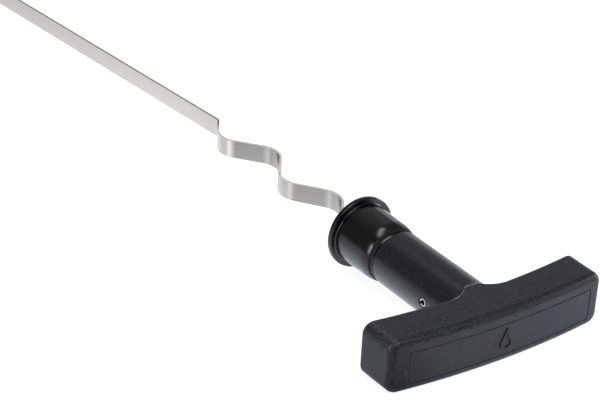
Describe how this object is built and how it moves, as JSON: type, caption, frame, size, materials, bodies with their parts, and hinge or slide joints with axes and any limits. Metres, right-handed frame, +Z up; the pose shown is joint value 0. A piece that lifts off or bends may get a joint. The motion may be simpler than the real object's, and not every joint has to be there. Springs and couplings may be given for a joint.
{
  "type": "engine oil dipstick",
  "caption": "Engine oil dipstick: a bowed T-shaped plastic handle on a round stem, a flanged rubber seal boot and a long steel blade crimped into waves.",
  "frame": {"origin": "middle of the footprint, on the ground that the dipstick lies on", "axes": "+Y along the dipstick from the grip to the blade's tip, +X along the grip, +Z up"},
  "size_m": [0.0866, 0.368, 0.0303],
  "materials": {
    "handle_plastic": "matt charcoal, finely textured",
    "pin_steel": "bright spring steel",
    "boot_rubber": "smooth black, lightly oiled",
    "blade_steel": "satin, bright on the bends"
  },
  "bodies": {
    "root": {"handle": "handle_plastic", "roll_pin": "pin_steel", "seal_boot": "boot_rubber", "blade": "blade_steel"}
  },
  "joints": []
}
